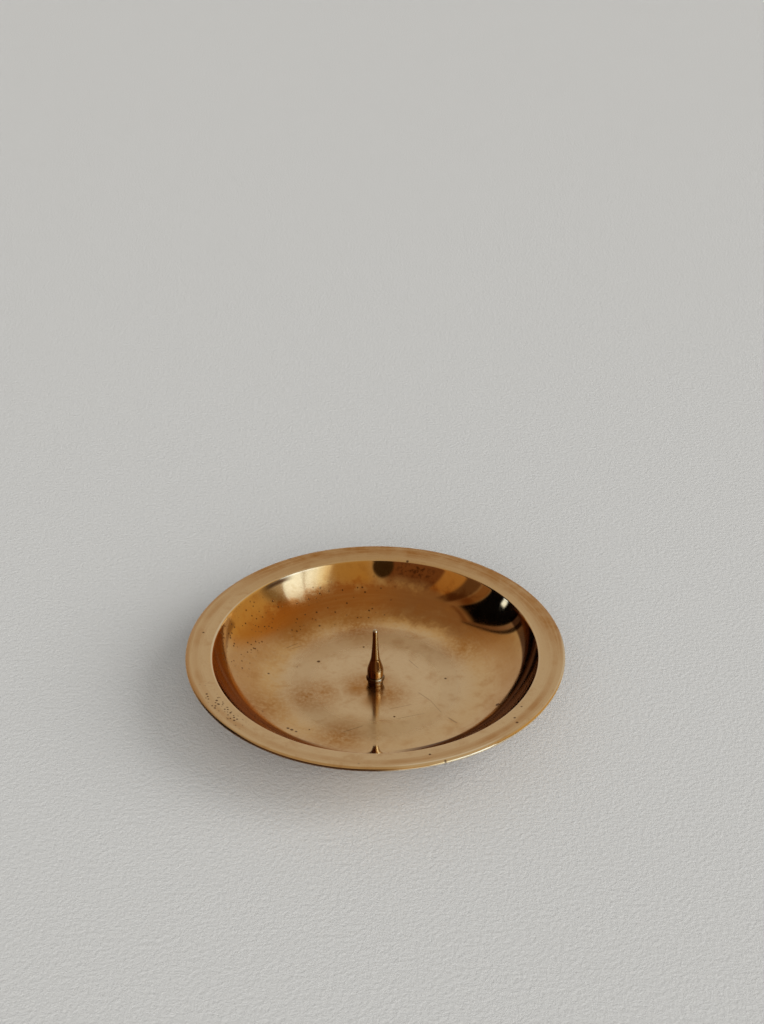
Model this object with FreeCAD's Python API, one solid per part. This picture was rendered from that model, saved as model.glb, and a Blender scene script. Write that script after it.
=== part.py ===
"""Brass pricket dish: a turned dish on a foot ring with a screwed-in candle spike.

Units are millimetres. The origin is on the dish's axis, on the surface that it stands on, and +Z is up.
"""

import FreeCAD
import Part

import math
import os

# Dish, seen from above
RIM_RADIUS = 70.0
WELL_RADIUS = 60.3
FLOOR_RADIUS = 35.3

# Dish, in section
FOOT_HEIGHT = 4.6
FLOOR_THICKNESS = 2.2
WELL_ARC_RADIUS = 27.6
WALL_THICKNESS = 2.2
LIP_BEVEL = 0.4

# Brim: a rounded edge, a soft roll-over and a slightly crowned top, each tangent to the next
EDGE_RADIUS = 0.5
EDGE_END_DEG = -15.0
ROLL_RADIUS = 1.7
ROLL_START_DEG = 50.0
CROWN_RADIUS = 72.0
CROWN_START_DEG = 94.3
BRIM_ROOT_DEG = -26.4
BRIM_ROOT_BEVEL = 1.4

# Foot ring
FOOT_OUTER_RADIUS = 33.2
FOOT_INNER_RADIUS = 30.4
FOOT_EDGE_BEVEL = 0.5

# Candle spike, heights above the dish's floor
COLLAR_RADIUS = 2.9
COLLAR_HEIGHT = 1.25
NECK_RADIUS = 2.8
BEAD_RADIUS = 3.48
BEAD_EDGE_RADIUS = 3.0
BEAD_BOTTOM = 1.55
BEAD_TOP = 3.5
SHOULDER_BOTTOM = 3.85
SHOULDER_RADIUS = 3.1
SHOULDER_HEIGHT = 5.8
SPIKE_HEIGHT = 24.3

# Candle spike's outline above the shoulder: a bulging arc, a straight flank and two hollow arcs up to the tip
SHOULDER_ARC_RADIUS = 6.0
FLANK_DEG = 16.5
WAIST_ARC_RADIUS = 10.6
PIN_FLARE_DEG = 6.2
PIN_ARC_RADIUS = 103.0
TIP_RADIUS = 1.0

# Fastening under the floor: a 4 mm threaded shank, a wide washer and a thin hexagon nut
SHANK_RADIUS = 2.0
SHANK_HOLE_RADIUS = 2.15
SHANK_BEYOND_NUT = 0.6
SHANK_CHAMFER = 0.4
WASHER_RADIUS = 7.8
WASHER_THICKNESS = 0.9
NUT_ACROSS_FLATS = 7.0
NUT_THICKNESS = 2.2
NUT_CHAMFER_DEG = 30.0

FLOOR_TOP = FOOT_HEIGHT + FLOOR_THICKNESS
AXIS_FOOT = FreeCAD.Vector(0, 0, 0)
AXIS = FreeCAD.Vector(0, 0, 1)


def point(radius, height):
    """A point of a turned profile."""
    return FreeCAD.Vector(radius, 0, height)


def polar(centre, radius, degrees):
    """The point at an angle on a circle of the profile plane, from the outward direction upwards."""
    angle = math.radians(degrees)
    return centre + point(radius * math.cos(angle), radius * math.sin(angle))


def line(start, end):
    return Part.LineSegment(start, end).toShape()


def arc(start, middle, end):
    return Part.Arc(start, middle, end).toShape()


def arc_about(centre, radius, start_deg, end_deg):
    """An arc of the profile between two angles on a circle."""
    middle_deg = (start_deg + end_deg) / 2
    return arc(polar(centre, radius, start_deg), polar(centre, radius, middle_deg), polar(centre, radius, end_deg))


def turned(edges):
    """The solid swept by a closed profile about the axis."""
    face = Part.Face(Part.Wire(edges))
    return face.revolve(AXIS_FOOT, AXIS, 360)


def bevelled(solid, corner, size):
    """The solid with its circular edge through a profile corner bevelled."""
    edges = []
    for edge in solid.Edges:
        if not isinstance(edge.Curve, Part.Circle):
            continue
        near_radius = abs(edge.Curve.Radius - corner.x) < 1e-3
        near_height = abs(edge.Curve.Center.z - corner.z) < 1e-3
        if near_radius and near_height:
            edges.append(edge)
    return solid.makeChamfer(size, edges)


def make_dish():
    """The turned dish: floor, curved well, brim with rounded edge, outer wall and foot ring in one piece."""
    well_centre = point(FLOOR_RADIUS, FLOOR_TOP + WELL_ARC_RADIUS)
    wall_radius = WELL_ARC_RADIUS + WALL_THICKNESS
    lip_deg = -math.degrees(math.acos((WELL_RADIUS - FLOOR_RADIUS) / WELL_ARC_RADIUS))
    lip = polar(well_centre, WELL_ARC_RADIUS, lip_deg)

    # From the edge inwards each circle lies on the line through the last join, so the arcs are tangent.
    edge_centre = point(RIM_RADIUS - EDGE_RADIUS, 0)
    roll_centre = polar(edge_centre, EDGE_RADIUS - ROLL_RADIUS, ROLL_START_DEG)
    crown_centre = polar(roll_centre, ROLL_RADIUS - CROWN_RADIUS, CROWN_START_DEG)
    lip_on_crown_deg = math.degrees(math.acos((WELL_RADIUS - crown_centre.x) / CROWN_RADIUS))
    rise = lip - polar(crown_centre, CROWN_RADIUS, lip_on_crown_deg)
    edge_centre += rise
    roll_centre += rise
    crown_centre += rise

    edge_end = polar(edge_centre, EDGE_RADIUS, EDGE_END_DEG)
    underside_edge = polar(edge_centre, EDGE_RADIUS, -90)
    brim_root = polar(well_centre, wall_radius, BRIM_ROOT_DEG)
    wall_bottom = polar(well_centre, wall_radius, -90)
    floor_edge = point(FLOOR_RADIUS, FLOOR_TOP)
    hole_top = point(SHANK_HOLE_RADIUS, FLOOR_TOP)
    hole_bottom = point(SHANK_HOLE_RADIUS, FOOT_HEIGHT)
    foot_root_inner = point(FOOT_INNER_RADIUS, FOOT_HEIGHT)
    foot_inner = point(FOOT_INNER_RADIUS, 0)
    foot_outer = point(FOOT_OUTER_RADIUS, 0)
    foot_root_outer = point(FOOT_OUTER_RADIUS, FOOT_HEIGHT)

    dish = turned([
        line(hole_top, floor_edge),
        arc_about(well_centre, WELL_ARC_RADIUS, -90, lip_deg),
        arc_about(crown_centre, CROWN_RADIUS, lip_on_crown_deg, CROWN_START_DEG),
        arc_about(roll_centre, ROLL_RADIUS, CROWN_START_DEG, ROLL_START_DEG),
        arc_about(edge_centre, EDGE_RADIUS, ROLL_START_DEG, EDGE_END_DEG),
        line(edge_end, underside_edge),
        line(underside_edge, brim_root),
        arc_about(well_centre, wall_radius, BRIM_ROOT_DEG, -90),
        line(wall_bottom, foot_root_outer),
        line(foot_root_outer, foot_outer),
        line(foot_outer, foot_inner),
        line(foot_inner, foot_root_inner),
        line(foot_root_inner, hole_bottom),
        line(hole_bottom, hole_top),
    ])
    dish = bevelled(dish, lip, LIP_BEVEL)
    dish = bevelled(dish, brim_root, BRIM_ROOT_BEVEL)
    dish = bevelled(dish, foot_inner, FOOT_EDGE_BEVEL)
    return bevelled(dish, foot_outer, FOOT_EDGE_BEVEL)


def make_spike():
    """The turned candle spike: collar, bead and waisted pin above the floor, threaded shank below it."""
    shank_end = FOOT_HEIGHT - WASHER_THICKNESS - NUT_THICKNESS - SHANK_BEYOND_NUT
    tip_centre = point(0, FLOOR_TOP + SPIKE_HEIGHT - TIP_RADIUS)
    pin_centre = point(TIP_RADIUS + PIN_ARC_RADIUS, tip_centre.z)
    pin_end = polar(pin_centre, PIN_ARC_RADIUS, 180 + PIN_FLARE_DEG)
    waist_centre = polar(pin_end, WAIST_ARC_RADIUS, PIN_FLARE_DEG)
    waist_end = polar(waist_centre, WAIST_ARC_RADIUS, 180 + FLANK_DEG)
    shoulder_centre = point(SHOULDER_RADIUS - SHOULDER_ARC_RADIUS, FLOOR_TOP + SHOULDER_HEIGHT)
    flank_end = polar(shoulder_centre, SHOULDER_ARC_RADIUS, FLANK_DEG)
    shoulder = polar(shoulder_centre, SHOULDER_ARC_RADIUS, 0)
    shoulder_base = point(NECK_RADIUS, FLOOR_TOP + SHOULDER_BOTTOM)
    shoulder_mid_height = (SHOULDER_BOTTOM + SHOULDER_HEIGHT) / 2
    shoulder_middle = point((NECK_RADIUS + 3 * SHOULDER_RADIUS) / 4, FLOOR_TOP + shoulder_mid_height)
    neck_top = point(NECK_RADIUS, FLOOR_TOP + BEAD_TOP)
    bead_top = point(BEAD_EDGE_RADIUS, FLOOR_TOP + BEAD_TOP)
    bead_middle = point(BEAD_RADIUS, FLOOR_TOP + (BEAD_BOTTOM + BEAD_TOP) / 2)
    bead_bottom = point(BEAD_EDGE_RADIUS, FLOOR_TOP + BEAD_BOTTOM)
    groove_top = point(NECK_RADIUS, FLOOR_TOP + BEAD_BOTTOM)
    groove_bottom = point(NECK_RADIUS, FLOOR_TOP + COLLAR_HEIGHT)
    collar_top = point(COLLAR_RADIUS, FLOOR_TOP + COLLAR_HEIGHT)
    collar_bottom = point(COLLAR_RADIUS, FLOOR_TOP)
    shank_top = point(SHANK_RADIUS, FLOOR_TOP)
    shank_side = point(SHANK_RADIUS, shank_end + SHANK_CHAMFER)
    shank_face = point(SHANK_RADIUS - SHANK_CHAMFER, shank_end)

    return turned([
        arc_about(tip_centre, TIP_RADIUS, 90, 0),
        arc_about(pin_centre, PIN_ARC_RADIUS, 180, 180 + PIN_FLARE_DEG),
        arc_about(waist_centre, WAIST_ARC_RADIUS, 180 + PIN_FLARE_DEG, 180 + FLANK_DEG),
        line(waist_end, flank_end),
        arc_about(shoulder_centre, SHOULDER_ARC_RADIUS, FLANK_DEG, 0),
        arc(shoulder, shoulder_middle, shoulder_base),
        line(shoulder_base, neck_top),
        line(neck_top, bead_top),
        arc(bead_top, bead_middle, bead_bottom),
        line(bead_bottom, groove_top),
        line(groove_top, groove_bottom),
        line(groove_bottom, collar_top),
        line(collar_top, collar_bottom),
        line(collar_bottom, shank_top),
        line(shank_top, shank_side),
        line(shank_side, shank_face),
        line(shank_face, point(0, shank_end)),
        line(point(0, shank_end), polar(tip_centre, TIP_RADIUS, 90)),
    ])


def make_washer():
    """The wide washer that spreads the nut's pull over the floor."""
    top = FOOT_HEIGHT
    bottom = top - WASHER_THICKNESS
    corners = [
        point(SHANK_HOLE_RADIUS, top),
        point(WASHER_RADIUS, top),
        point(WASHER_RADIUS, bottom),
        point(SHANK_HOLE_RADIUS, bottom),
    ]
    return turned([line(corners[i - 1], corners[i]) for i in range(4)])


def make_nut():
    """The thin hexagon nut, its corners turned off at both faces."""
    top = FOOT_HEIGHT - WASHER_THICKNESS
    bottom = top - NUT_THICKNESS
    flat_radius = NUT_ACROSS_FLATS / 2
    corner_radius = flat_radius / math.cos(math.radians(30))
    corners = [polar(AXIS_FOOT, corner_radius, 60 * i) for i in range(7)]
    hexagon = Part.makePolygon([FreeCAD.Vector(c.x, c.z, bottom) for c in corners])
    prism = Part.Face(hexagon).extrude(AXIS * NUT_THICKNESS)

    turned_off = (corner_radius - flat_radius) * math.tan(math.radians(NUT_CHAMFER_DEG))
    profile = [
        point(SHANK_RADIUS, top),
        point(flat_radius, top),
        point(corner_radius, top - turned_off),
        point(corner_radius, bottom + turned_off),
        point(flat_radius, bottom),
        point(SHANK_RADIUS, bottom),
    ]
    blank = turned([line(profile[i - 1], profile[i]) for i in range(len(profile))])
    return prism.common(blank).Solids[0]


def main():
    nodes = {
        "dish": make_dish(),
        "candle_spike": make_spike(),
        "washer": make_washer(),
        "hex_nut": make_nut(),
    }
    os.makedirs("parts", exist_ok=True)
    for name, solid in nodes.items():
        solid.exportStep(f"parts/{name}.step")
        print(name, "valid" if solid.isValid() else "NOT VALID", round(solid.Volume, 1), "mm3")


main()
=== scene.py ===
import math

import bpy
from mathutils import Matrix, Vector


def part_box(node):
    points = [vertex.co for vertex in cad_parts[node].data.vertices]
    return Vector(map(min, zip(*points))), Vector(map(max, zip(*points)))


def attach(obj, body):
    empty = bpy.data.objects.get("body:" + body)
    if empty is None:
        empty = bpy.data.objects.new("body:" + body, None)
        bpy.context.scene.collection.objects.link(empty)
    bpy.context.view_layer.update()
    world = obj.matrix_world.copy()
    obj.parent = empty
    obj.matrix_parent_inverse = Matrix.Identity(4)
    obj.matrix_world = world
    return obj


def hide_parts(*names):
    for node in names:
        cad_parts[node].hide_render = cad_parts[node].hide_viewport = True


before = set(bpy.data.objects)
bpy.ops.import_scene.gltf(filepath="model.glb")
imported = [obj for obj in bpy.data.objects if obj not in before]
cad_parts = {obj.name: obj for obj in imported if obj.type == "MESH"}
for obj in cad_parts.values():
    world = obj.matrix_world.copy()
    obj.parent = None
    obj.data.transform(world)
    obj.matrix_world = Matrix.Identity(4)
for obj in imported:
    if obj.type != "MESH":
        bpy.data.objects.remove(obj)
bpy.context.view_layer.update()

bl_info = {
    "name": "Pricket dish",
    "version": (1, 0, 0),
    "blender": (4, 5, 0),
    "location": "View3D > Sidebar > Pricket dish",
    "description": "Turns an aged brass pricket dish, its spike and its fastening, and sets up its studio",
    "category": "Object",
}

MM = 0.001
FULL_TURN = math.tau
SMOOTH_ANGLE = math.radians(35)
MERGE_DISTANCE = 0.001 * MM

_, DISH_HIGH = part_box("dish")
SPIKE_LOW, SPIKE_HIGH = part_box("candle_spike")
_, WASHER_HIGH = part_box("washer")
FOOT_HEIGHT = WASHER_HIGH.z
SPIKE_HEIGHT = 24.3 * MM

# Angles of the joins in the dish's section, from the outward direction upwards
ROLL_START_DEG = 50.0
CROWN_START_DEG = 94.3
ROOT_DEG = -29.0

# Steps along the dish's section
FLOOR_STEPS = 44
WELL_STEPS = 76
LIP_STEPS = 8
CROWN_STEPS = 14
ROLL_STEPS = 10
EDGE_STEPS = 14
UNDERSIDE_STEPS = 8
ROOT_STEPS = 10
WALL_STEPS = 56

# Steps along the spike's section
TIP_STEPS = 10
PIN_STEPS = 12
WAIST_STEPS = 8
FLANK_STEPS = 6
SHOULDER_STEPS = 8
BEAD_STEPS = 14

# Small roundings, each with its size and steps
FOOT_ROOT_ROUND = (1.0 * MM, 5)
FOOT_EDGE_ROUND = (0.5 * MM, 5)
RECESS_ROUND = (0.8 * MM, 5)
SHOULDER_BASE_ROUND = (0.33 * MM, 5)
NECK_ROUND = (0.15 * MM, 3)
COLLAR_TOP_ROUND = (0.15 * MM, 3)
COLLAR_FOOT_ROUND = (0.25 * MM, 3)
SHANK_ROUND = (0.35 * MM, 3)

# Noises: cells to a millimetre, detail, roughness and swirl
CLOUD_NOISE = (0.05, 4.0, 0.6)
MOTTLE_NOISE = (0.16, 6.0, 0.64, 0.25)
FINE_NOISE = (0.75, 4.0, 0.65)
GRIT_NOISE = (2.2, 2.0, 0.5)
WAVE_NOISE = (0.035, 1.0, 0.4)
FASTENING_NOISE = (0.5, 4.0, 0.6)
SPIKE_NOISE = (0.4, 4.0, 0.6)
PAINT_NOISE = (0.6, 4.0, 0.7)
WIPED_NOISE = (1.0, 4.0, 0.6)
WIPED_ROUND = 3.2
WIPED_ACROSS = 1.1
TURNING_LINES = 2.3
TURNING_DETAIL = 4.0

# Fades on the dish, in millimetres from the axis, from where each begins to where it is complete
FLOOR_FADE = (30.0, 38.0)
BRIM_FADE = (60.0, 61.0)
PATINA_RISE = (38.5, 49.0)
PATINA_FALL = (53.0, 58.0)
POLISHED_FADE = (18.0, 27.0)
WALL_SHADE_END_FADE = (59.7, 60.2)
BRIM_BACK_FADE = (60.0, 67.0)
BRIM_EDGE_FADE = (67.6, 69.2)
DARK_EDGE_FADE = (69.66, 69.8)
EDGE_HIGHLIGHT_FADE = (68.1, 68.8)
RIGHT_EDGE_HIGHLIGHT_FADE = (69.0, 69.5)

# Zones on the dish, in millimetres from the axis: where each starts, where it ends and how softly
GOLDEN_ZONE = (36.5, 59.0, 4.0)
SHADED_ZONE = (42.0, 56.5, 3.0)
HAZED_ZONE = (52.0, 61.0, 1.5)
BRIM_BAND_ZONE = (65.0, 67.6, 1.3)
BRIM_PIT_ZONE = (62.8, 67.6, 0.7)
LEFT_PIT_ZONE = (48.0, 59.5, 1.5)
BACK_PIT_ZONE = (41.0, 56.0, 2.0)
PATCH_ZONE = (57.3, 60.0, 0.7)
CRUST_ZONE = (59.4, 60.2, 0.3)
LIP_HIGHLIGHT_ZONE = (60.1, 60.8, 0.3)

# Stretches round the dish, in degrees from +X towards +Y, in the same order
SHADED_STRETCH = (32.0, 84.0, 12.0)
HAZED_STRETCH = (100.0, 141.0, 7.0)
BRIM_BAND_STRETCH = (-78.0, -20.0, 14.0)
BRIM_PIT_STRETCH = (-158.0, -135.0, 4.0)
LEFT_PIT_STRETCH = (141.0, 181.0, 6.0)
BACK_PIT_STRETCH = (84.0, 138.0, 8.0)
PATCH_STRETCH = (67.0, 81.0, 5.0)
CRUST_STRETCH = (125.0, 136.0, 3.0)
DARK_EDGE_STRETCH = (-152.0, -86.0, 5.0)
EDGE_HIGHLIGHT_STRETCH = (-84.0, -54.0, 5.0)
RIGHT_EDGE_HIGHLIGHT_STRETCH = (-54.0, 5.0, 6.0)
BACK_DEG = 88.0
LEFT_BACK_DEG = 125.0
LEFT_DEG = 150.0

# Pits: their spacing and size in millimetres, and the share of the places that has one
BRIM_PITS = (1.15, 0.45, 0.6)
LEFT_PITS = (1.2, 0.36, 0.55)
BACK_PITS = (1.5, 0.4, 0.4)
STRAY_PITS = (6.0, 0.5, 0.25)

# The painted wall shade's inner border is nearly an ellipse, seen from above: its middle and half axes in
# millimetres
WALL_SHADE_MIDDLE_Y = 8.0
WALL_SHADE_HALF_DEPTH = 48.8
WALL_SHADE_HALF_WIDTH = 56.2
WALL_SHADE_RIGHT_NARROWER = 0.7
WALL_SHADE_BORDER = (0.988, 1.003)
WALL_SHADE_BACK_FADE = (20.0, 23.0)
WALL_SHADE_LEFT_FADE = (-10.0, -28.0)
WALL_SHADE_RIGHT_FADE = (4.0, 24.0)

# Single marks on the dish: their places in millimetres from the axis, towards +X and +Y, and their sizes.
# The first five blooms also have how ragged their outlines are.
HALO_MIDDLE = ((-1.5, -1.5), 13.5, 9.0)
HALO_LEFT = ((-7.0, -3.5), 10.0, 8.0)
HALO_RIGHT = ((6.0, -6.5), 8.0, 8.0)
HALO_FRONT = ((0.0, -10.0), 9.0, 5.0)
WIDE_BLOOM = ((-24.0, -8.0), 17.0, 22.0)
BLOOM_RAGGED = 1.6
FLOOR_BLOOMS = (
    ((-21.0, -6.0), 15.0),
    ((-26.0, -10.0), 11.0),
    ((-13.0, -33.0), 17.0),
    ((-30.0, 30.0), 16.0),
    ((5.0, -7.0), 13.0),
    ((-6.0, -2.0), 14.0),
    ((-41.0, -16.0), 17.0),
    ((-8.0, 37.0), 17.0),
    ((34.0, 22.0), 15.0),
)
LONE_PITS = (
    ((-21.8, 13.4), 0.62),
    ((-40.4, 5.0), 0.4),
    ((26.4, 2.6), 0.42),
    ((44.7, -17.1), 0.7),
    ((48.6, -42.0), 0.42),
    ((49.2, -45.0), 0.5),
    ((51.5, -35.4), 0.35),
    ((-64.5, 9.0), 0.4),
    ((12.7, 59.4), 0.55),
    ((-34.7, 60.1), 0.6),
    ((23.7, -65.5), 0.4),
    ((-31.4, -28.2), 0.55),
    ((-30.0, -28.9), 0.62),
    ((-28.4, -29.8), 0.45),
)
SCRATCHES = (
    ((-11.4, -29.2), (-4.6, -25.8), 0.32),
    ((-34.6, 21.4), (-30.2, 25.0), 0.28),
    ((-33.0, 21.0), (-28.6, 23.6), 0.24),
    ((16.0, -6.0), (20.4, -10.9), 0.26),
    ((20.4, -10.9), (24.0, -17.6), 0.22),
    ((26.6, -21.0), (29.6, -24.2), 0.5),
    ((12.8, 14.2), (16.2, 9.3), 0.26),
    ((8.0, -21.6), (17.8, -18.6), 0.2),
    ((5.0, -16.0), (13.5, -13.2), 0.18),
)

# How far the brass's shine is drawn out, and the turn of that, as part of a full one
BRASS_ANISOTROPY = 0.95
BRASS_ANISOTROPY_TURN = 0.25

# Heights and depths that the brass's normals show, and the radius of the floor's rise, in millimetres
WAVE_HEIGHT = 0.05
DOME_HEIGHT = 1.0
DOME_RADIUS = 40.0
TURNING_HEIGHT = 0.002
PIT_DEPTH = 0.015
SCRATCH_DEPTH = 0.01
WIPED_HEIGHT = 0.003

# The table: its side in metres, the height of its paint's grain in millimetres, and its roughness
TABLE_SIZE = 12.0
PAINT_HEIGHT = 0.38
PAINT_ROUGHNESS = 0.75

# The washer's and nut's roughness, before their mottling
FASTENING_ROUGHNESS = 0.3

# Pale stretches round the spike, in degrees from +X towards +Y: the front right and right ones are painted
# highlight, the back one is rubbed
SPIKE_HIGHLIGHT_STRETCH = (-84.0, -42.0, 9.0)
SPIKE_BACK_STRETCH = (88.0, 118.0, 12.0)
SPIKE_RIGHT_HIGHLIGHT_DEG = -10.0
SPIKE_RIGHT_HIGHLIGHT_FADE = (22.0, 40.0)

# Heights on the spike, in millimetres above the table
SPIKE_TIP_FADE = (30.0, 30.9)
SPIKE_BEAD_FADE = (10.2, 10.9)

# The camera: its place, how far it looks down, and its lens
CAMERA_PLACE = Vector((2.47, -482.18, 371.0)) * MM
CAMERA_PITCH_DEG = 30.975
CAMERA_LENS = 56.25
CAMERA_REACH = 20.0
SENSOR_WIDTH = 36.0

# The room that polished brass sees, as screens round the dish: the way that each lies, from +Y towards +X,
# its height above the table and the softness of its edges, all in degrees, and its colour.
ROOM_OVERHEAD = (0.40, 0.31, 0.20)
ROOM_SCREENS = (
    ("pale wall", (-44, 62), (-90, 52), (18, 11), (0.51, 0.475, 0.44)),
    ("golden wall", (52, 98), (-90, 58), (9, 14), (0.48, 0.30, 0.10)),
    ("window edge", (95, 104), (8, 40), (3, 8), (0.20, 0.13, 0.055)),
    ("window side", (144, 178), (-90, 58), (7, 12), (0.40, 0.235, 0.07)),
    ("dim side", (-172, -129), (-90, 48), (3, 12), (0.15, 0.06, 0.022)),
    ("low wall", (113, 218), (-90, 4), (8, 6), (0.47, 0.44, 0.42)),
    ("amber board", (-131, -113), (-90, 50), (1.5, 4), (0.37, 0.19, 0.055)),
    ("grey board", (-115, -103), (-90, 55), (1.5, 6), (0.11, 0.055, 0.025)),
    ("amber strip", (-103, -95), (-90, 46), (1.5, 5), (0.20, 0.095, 0.035)),
    ("black flag", (-95, -67), (-90, 50), (1.0, 3), (0.002, 0.002, 0.003)),
    ("frame line", (-67, -63.5), (-90, 56), (0.7, 2), (0.24, 0.17, 0.13)),
    ("frame line below", (-95, -63.5), (53, 56), (0.7, 1), (0.24, 0.15, 0.08)),
    ("dark frame", (-63.5, -60), (-90, 56), (0.8, 2), (0.03, 0.018, 0.012)),
    ("window foot", (104, 150), (-90, 9), (3, 2), (1.0, 1.3, 1.5)),
    ("far window", (-83.3, -79.6), (4, 12), (1.0, 1.6), (1.15, 1.55, 2.2)),
)

# A dark oval screen behind the camera: its turn, its height, half its width and half its height in degrees
DARK_SCREEN = (-174.5, 28.5, 7.8, 18.0)
DARK_SCREEN_FADE = (0.84, 1.14)
DARK_SCREEN_SHADE = (0.035, 0.02, 0.008)

# The window, as panes that only the brass reflects, each with its turn and its radiance
WINDOW_PANES = (
    ("window_left_pane", (107.5, 123.4), (0.87, 1.23, 1.68)),
    ("window_right_pane", (125.2, 130.5), (0.79, 1.10, 1.48)),
    ("window_curtain", (130.5, 135.5), (0.72, 0.96, 1.18)),
    ("window_curtain_edge", (135.5, 140.0), (0.66, 0.80, 0.80)),
    ("window_curtain_fold", (140.0, 145.0), (0.52, 0.54, 0.42)),
)
WINDOW_ROLL_DEG = 17.0
WINDOW_RISE = (8.0, 47.0)
WINDOW_DISTANCE = 8.0

# Soft lamps that light only what is matt, each with its turn, its height and its radiance
LAMPS = (
    ("side_light", (78.0, 128.0), (12.0, 55.0), 3.9),
    ("front_light", (130.0, 212.0), (4.0, 46.0), 3.6),
)
LAMP_DISTANCE = 60.0
SOFT_LIGHT = (0.32, 0.32, 0.32)
BACKDROP = (0.57, 0.565, 0.55)


class DishSizes(bpy.types.PropertyGroup):
    """Sizes of the turned dish."""

    rim_radius: bpy.props.FloatProperty(
        name="Rim radius", description="From the axis to the brim's edge",
        default=DISH_HIGH.x, unit="LENGTH")
    well_radius: bpy.props.FloatProperty(
        name="Well radius", description="From the axis to the brim's inner lip",
        default=60.3 * MM, unit="LENGTH")
    floor_radius: bpy.props.FloatProperty(
        name="Floor radius", description="Where the flat floor turns up into the well", default=35.3 * MM,
        unit="LENGTH")
    floor_thickness: bpy.props.FloatProperty(
        name="Floor thickness", description="From the recess under the dish to the floor", default=2.2 * MM,
        unit="LENGTH")
    well_arc: bpy.props.FloatProperty(
        name="Well arc", description="Radius of the well's curve in section",
        default=27.6 * MM, unit="LENGTH")
    wall_thickness: bpy.props.FloatProperty(
        name="Wall thickness", description="Between the well's curve and the outer wall", default=2.2 * MM,
        unit="LENGTH")
    lip_round: bpy.props.FloatProperty(
        name="Lip rounding", description="Radius between the well and the brim",
        default=0.9 * MM, unit="LENGTH")
    crown_radius: bpy.props.FloatProperty(
        name="Crown radius", description="Radius of the brim's crown in section", default=72.0 * MM,
        unit="LENGTH")
    roll_radius: bpy.props.FloatProperty(
        name="Roll radius", description="Radius of the brim's roll-over in section", default=1.7 * MM,
        unit="LENGTH")
    edge_radius: bpy.props.FloatProperty(
        name="Edge radius", description="Radius of the brim's edge in section",
        default=0.5 * MM, unit="LENGTH")
    root_round: bpy.props.FloatProperty(
        name="Brim root rounding", description="Radius between the brim's underside and the outer wall",
        default=3.0 * MM, unit="LENGTH")
    foot_outer: bpy.props.FloatProperty(
        name="Foot outer radius", description="Outside of the foot ring", default=33.2 * MM, unit="LENGTH")
    foot_inner: bpy.props.FloatProperty(
        name="Foot inner radius", description="Inside of the foot ring", default=30.4 * MM, unit="LENGTH")
    hole_radius: bpy.props.FloatProperty(
        name="Hole radius", description="Clearance hole for the spike's shank",
        default=2.15 * MM, unit="LENGTH")
    turns: bpy.props.IntProperty(
        name="Steps round", description="Faces round the axis", default=256, min=32)


class SpikeSizes(bpy.types.PropertyGroup):
    """Sizes of the turned candle spike, with heights above the dish's floor."""

    tip_radius: bpy.props.FloatProperty(
        name="Tip radius", description="Radius of the rounded tip", default=1.0 * MM, unit="LENGTH")
    pin_arc: bpy.props.FloatProperty(
        name="Pin arc", description="Radius of the pin's long hollow curve",
        default=103.0 * MM, unit="LENGTH")
    pin_flare_deg: bpy.props.FloatProperty(
        name="Pin flare", description="Slope at the lower end of the pin, in degrees", default=6.2)
    waist_arc: bpy.props.FloatProperty(
        name="Waist arc", description="Radius of the curve from the pin into the flank", default=10.6 * MM,
        unit="LENGTH")
    flank_deg: bpy.props.FloatProperty(
        name="Flank slope", description="Slope of the straight flank, in degrees", default=16.5)
    shoulder_arc: bpy.props.FloatProperty(
        name="Shoulder arc", description="Radius of the curve from the flank into the shoulder",
        default=6.0 * MM, unit="LENGTH")
    shoulder_radius: bpy.props.FloatProperty(
        name="Shoulder radius", description="Widest radius of the bell", default=3.1 * MM, unit="LENGTH")
    shoulder_height: bpy.props.FloatProperty(
        name="Shoulder height", description="Where the bell is widest", default=5.8 * MM, unit="LENGTH")
    shoulder_bottom: bpy.props.FloatProperty(
        name="Shoulder bottom", description="Lower edge of the bell", default=3.85 * MM, unit="LENGTH")
    neck_radius: bpy.props.FloatProperty(
        name="Neck radius", description="Radius of the two grooves", default=2.8 * MM, unit="LENGTH")
    bead_radius: bpy.props.FloatProperty(
        name="Bead radius", description="Widest radius of the bead", default=3.48 * MM, unit="LENGTH")
    bead_top: bpy.props.FloatProperty(
        name="Bead top", description="Upper edge of the bead", default=3.5 * MM, unit="LENGTH")
    bead_bottom: bpy.props.FloatProperty(
        name="Bead bottom", description="Lower edge of the bead", default=1.55 * MM, unit="LENGTH")
    collar_radius: bpy.props.FloatProperty(
        name="Collar radius", description="Radius of the collar on the floor",
        default=2.9 * MM, unit="LENGTH")
    collar_height: bpy.props.FloatProperty(
        name="Collar height", description="Height of the collar", default=1.25 * MM, unit="LENGTH")
    shank_radius: bpy.props.FloatProperty(
        name="Shank radius", description="Outside of the thread", default=2.0 * MM, unit="LENGTH")
    turns: bpy.props.IntProperty(
        name="Steps round", description="Faces round the axis", default=96, min=24)


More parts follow.
